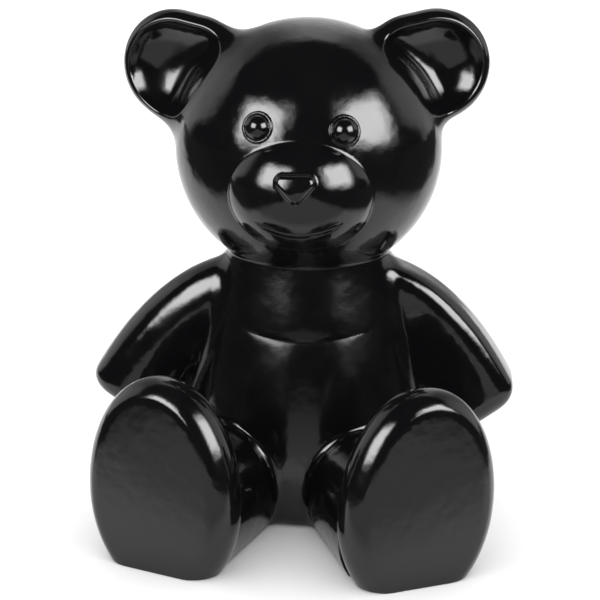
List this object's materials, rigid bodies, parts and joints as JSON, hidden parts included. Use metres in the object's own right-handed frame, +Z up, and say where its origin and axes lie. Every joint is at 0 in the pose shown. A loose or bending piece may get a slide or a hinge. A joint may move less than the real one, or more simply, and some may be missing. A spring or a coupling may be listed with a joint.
{
  "type": "bear statue",
  "caption": "Seated bear figure in glossy black, with dished round ears, bead eyes, a wide smiling muzzle, paddle arms and splayed legs that end in flat upright soles.",
  "frame": {"origin": "on the underside, at the foot of the torso's vertical axis", "axes": "+Z up, -Y the way the bear faces, +X to the right of a viewer who faces it"},
  "size_m": [0.4278, 0.3629, 0.5028],
  "materials": {
    "lacquer": "high gloss black lacquer over cast resin"
  },
  "bodies": {
    "root": {"bear": "lacquer"}
  },
  "joints": []
}
